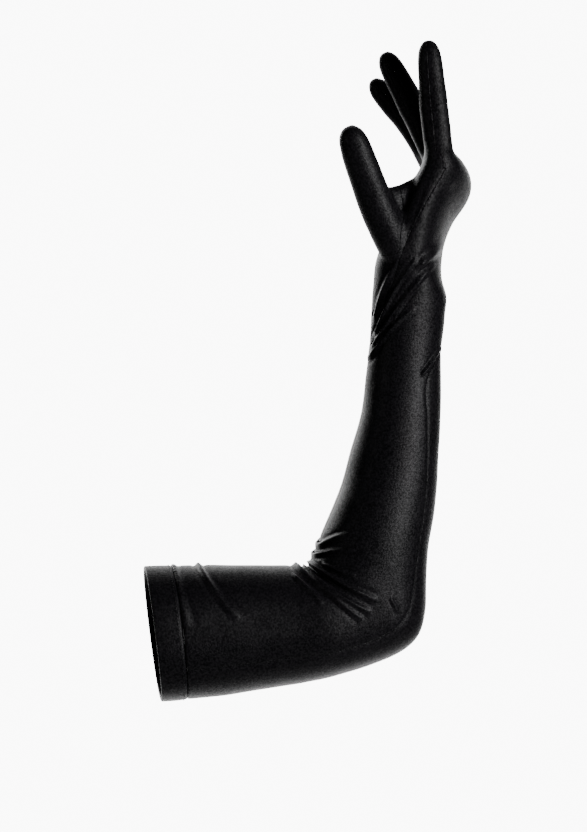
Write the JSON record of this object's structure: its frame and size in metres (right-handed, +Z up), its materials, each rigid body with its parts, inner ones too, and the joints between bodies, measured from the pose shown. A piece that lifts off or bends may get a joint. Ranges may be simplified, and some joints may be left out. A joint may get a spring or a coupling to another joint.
{
  "type": "velvet glove",
  "caption": "Long black velvet evening glove for the right hand, bent at the elbow as it is worn, with fingers, a set-in thumb and a turned edge above the elbow.",
  "frame": {"origin": "middle of the opening at the upper arm, where the arm goes in", "axes": "-X out of the opening, +X along the upper arm to the elbow, +Z up along the forearm to the fingertips, -Y towards the thumb side of the sleeve"},
  "size_m": [0.2222, 0.0896, 0.4402],
  "materials": {
    "cuff_hem": "black stretch velvet with a short pile that catches the light at its edges",
    "palm_panel": "black stretch velvet with a short pile that catches the light at its edges",
    "back_panel": "black stretch velvet with a short pile that catches the light at its edges",
    "thumb": "black stretch velvet with a short pile that catches the light at its edges",
    "sidewall_index_middle": "black stretch velvet with a short pile that catches the light at its edges",
    "sidewall_middle_ring": "black stretch velvet with a short pile that catches the light at its edges",
    "sidewall_ring_little": "black stretch velvet with a short pile that catches the light at its edges"
  },
  "bodies": {
    "root": {"cuff_hem": "cuff_hem", "palm_panel": "palm_panel", "back_panel": "back_panel", "thumb": "thumb", "sidewall_index_middle": "sidewall_index_middle", "sidewall_middle_ring": "sidewall_middle_ring", "sidewall_ring_little": "sidewall_ring_little"}
  },
  "joints": []
}
